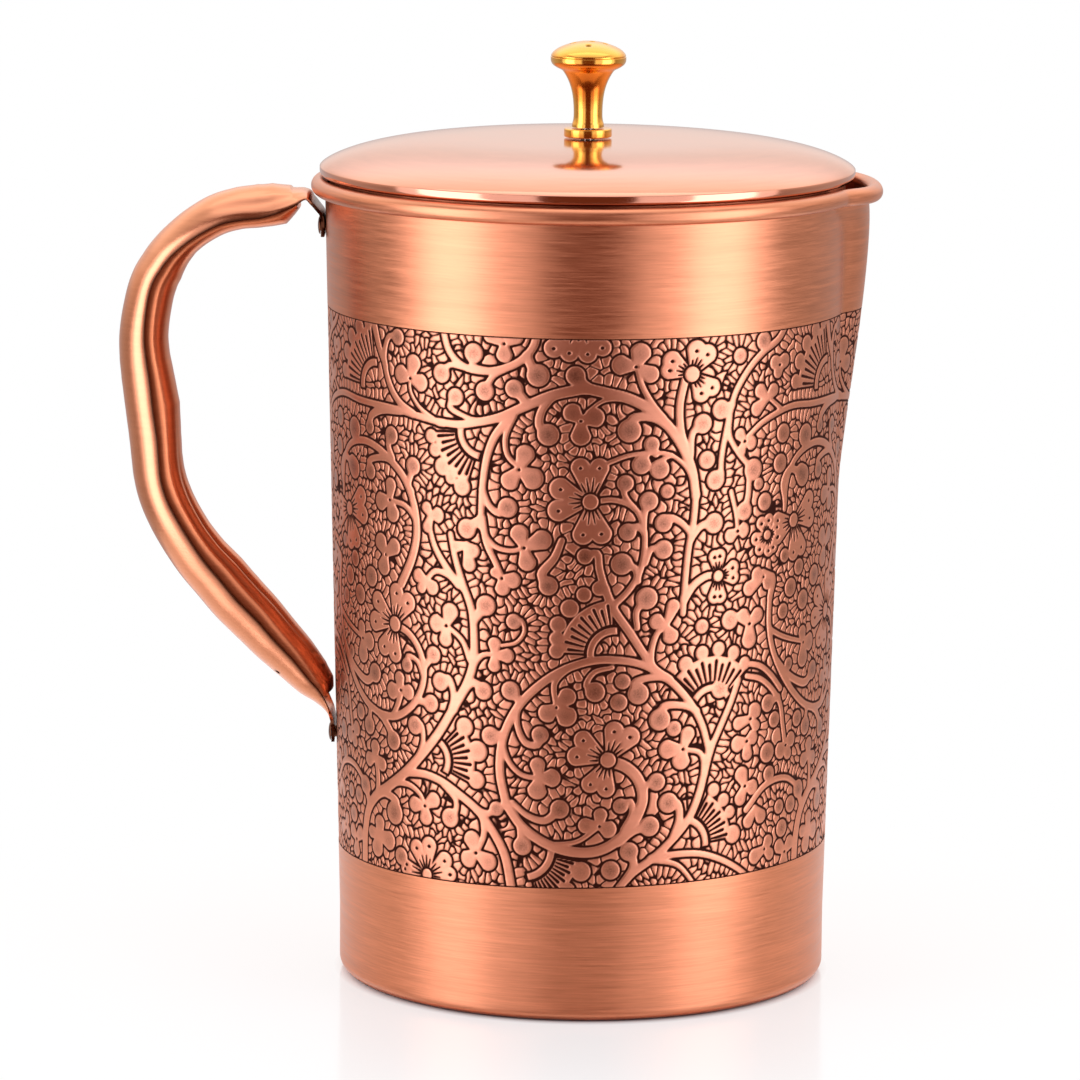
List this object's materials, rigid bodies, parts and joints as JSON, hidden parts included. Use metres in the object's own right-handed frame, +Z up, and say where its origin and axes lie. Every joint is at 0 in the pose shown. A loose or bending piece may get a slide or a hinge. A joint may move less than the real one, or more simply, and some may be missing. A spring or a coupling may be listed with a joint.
{
  "type": "lidded water jug",
  "caption": "Lidded sheet-metal water jug with a pulled spout, a wired rim, a hollow two-shell side handle, an engraved band and a lift-off lid with a turned knob.",
  "frame": {"origin": "centre of the flat bottom, on the jug's axis, at the surface that it stands on", "axes": "+Z up along the jug's axis; +X towards the spout; the handle is at -X"},
  "size_m": [0.1864, 0.1346, 0.2303],
  "materials": {
    "wall_copper": "brushed satin copper, with a dark antiqued engraved band",
    "rim_wire": "plain drawn wire, hidden in the rim",
    "handle_copper": "polished satin copper",
    "handle_inner_copper": "satin copper, a little darker",
    "rivet_copper": "satin copper",
    "lid_copper": "polished satin copper",
    "collar_copper": "satin copper",
    "knob_brass": "polished brass",
    "screw_steel": "bright zinc"
  },
  "bodies": {
    "jug": {"jug_body": "wall_copper", "rim_wire": "rim_wire", "handle_outer_shell": "handle_copper", "handle_inner_shell": "handle_inner_copper", "handle_upper_rivet": "rivet_copper", "handle_lower_rivet": "rivet_copper"},
    "lid": {"lid_cover": "lid_copper", "lid_collar": "collar_copper", "knob": "knob_brass", "knob_foot_ring": "knob_brass", "knob_screw": "screw_steel"}
  },
  "joints": [
    {"name": "lid_lift", "type": "slide", "parent": "jug", "child": "lid", "axis": [0, 0, 1], "range_m": [0, 0.15]}
  ]
}
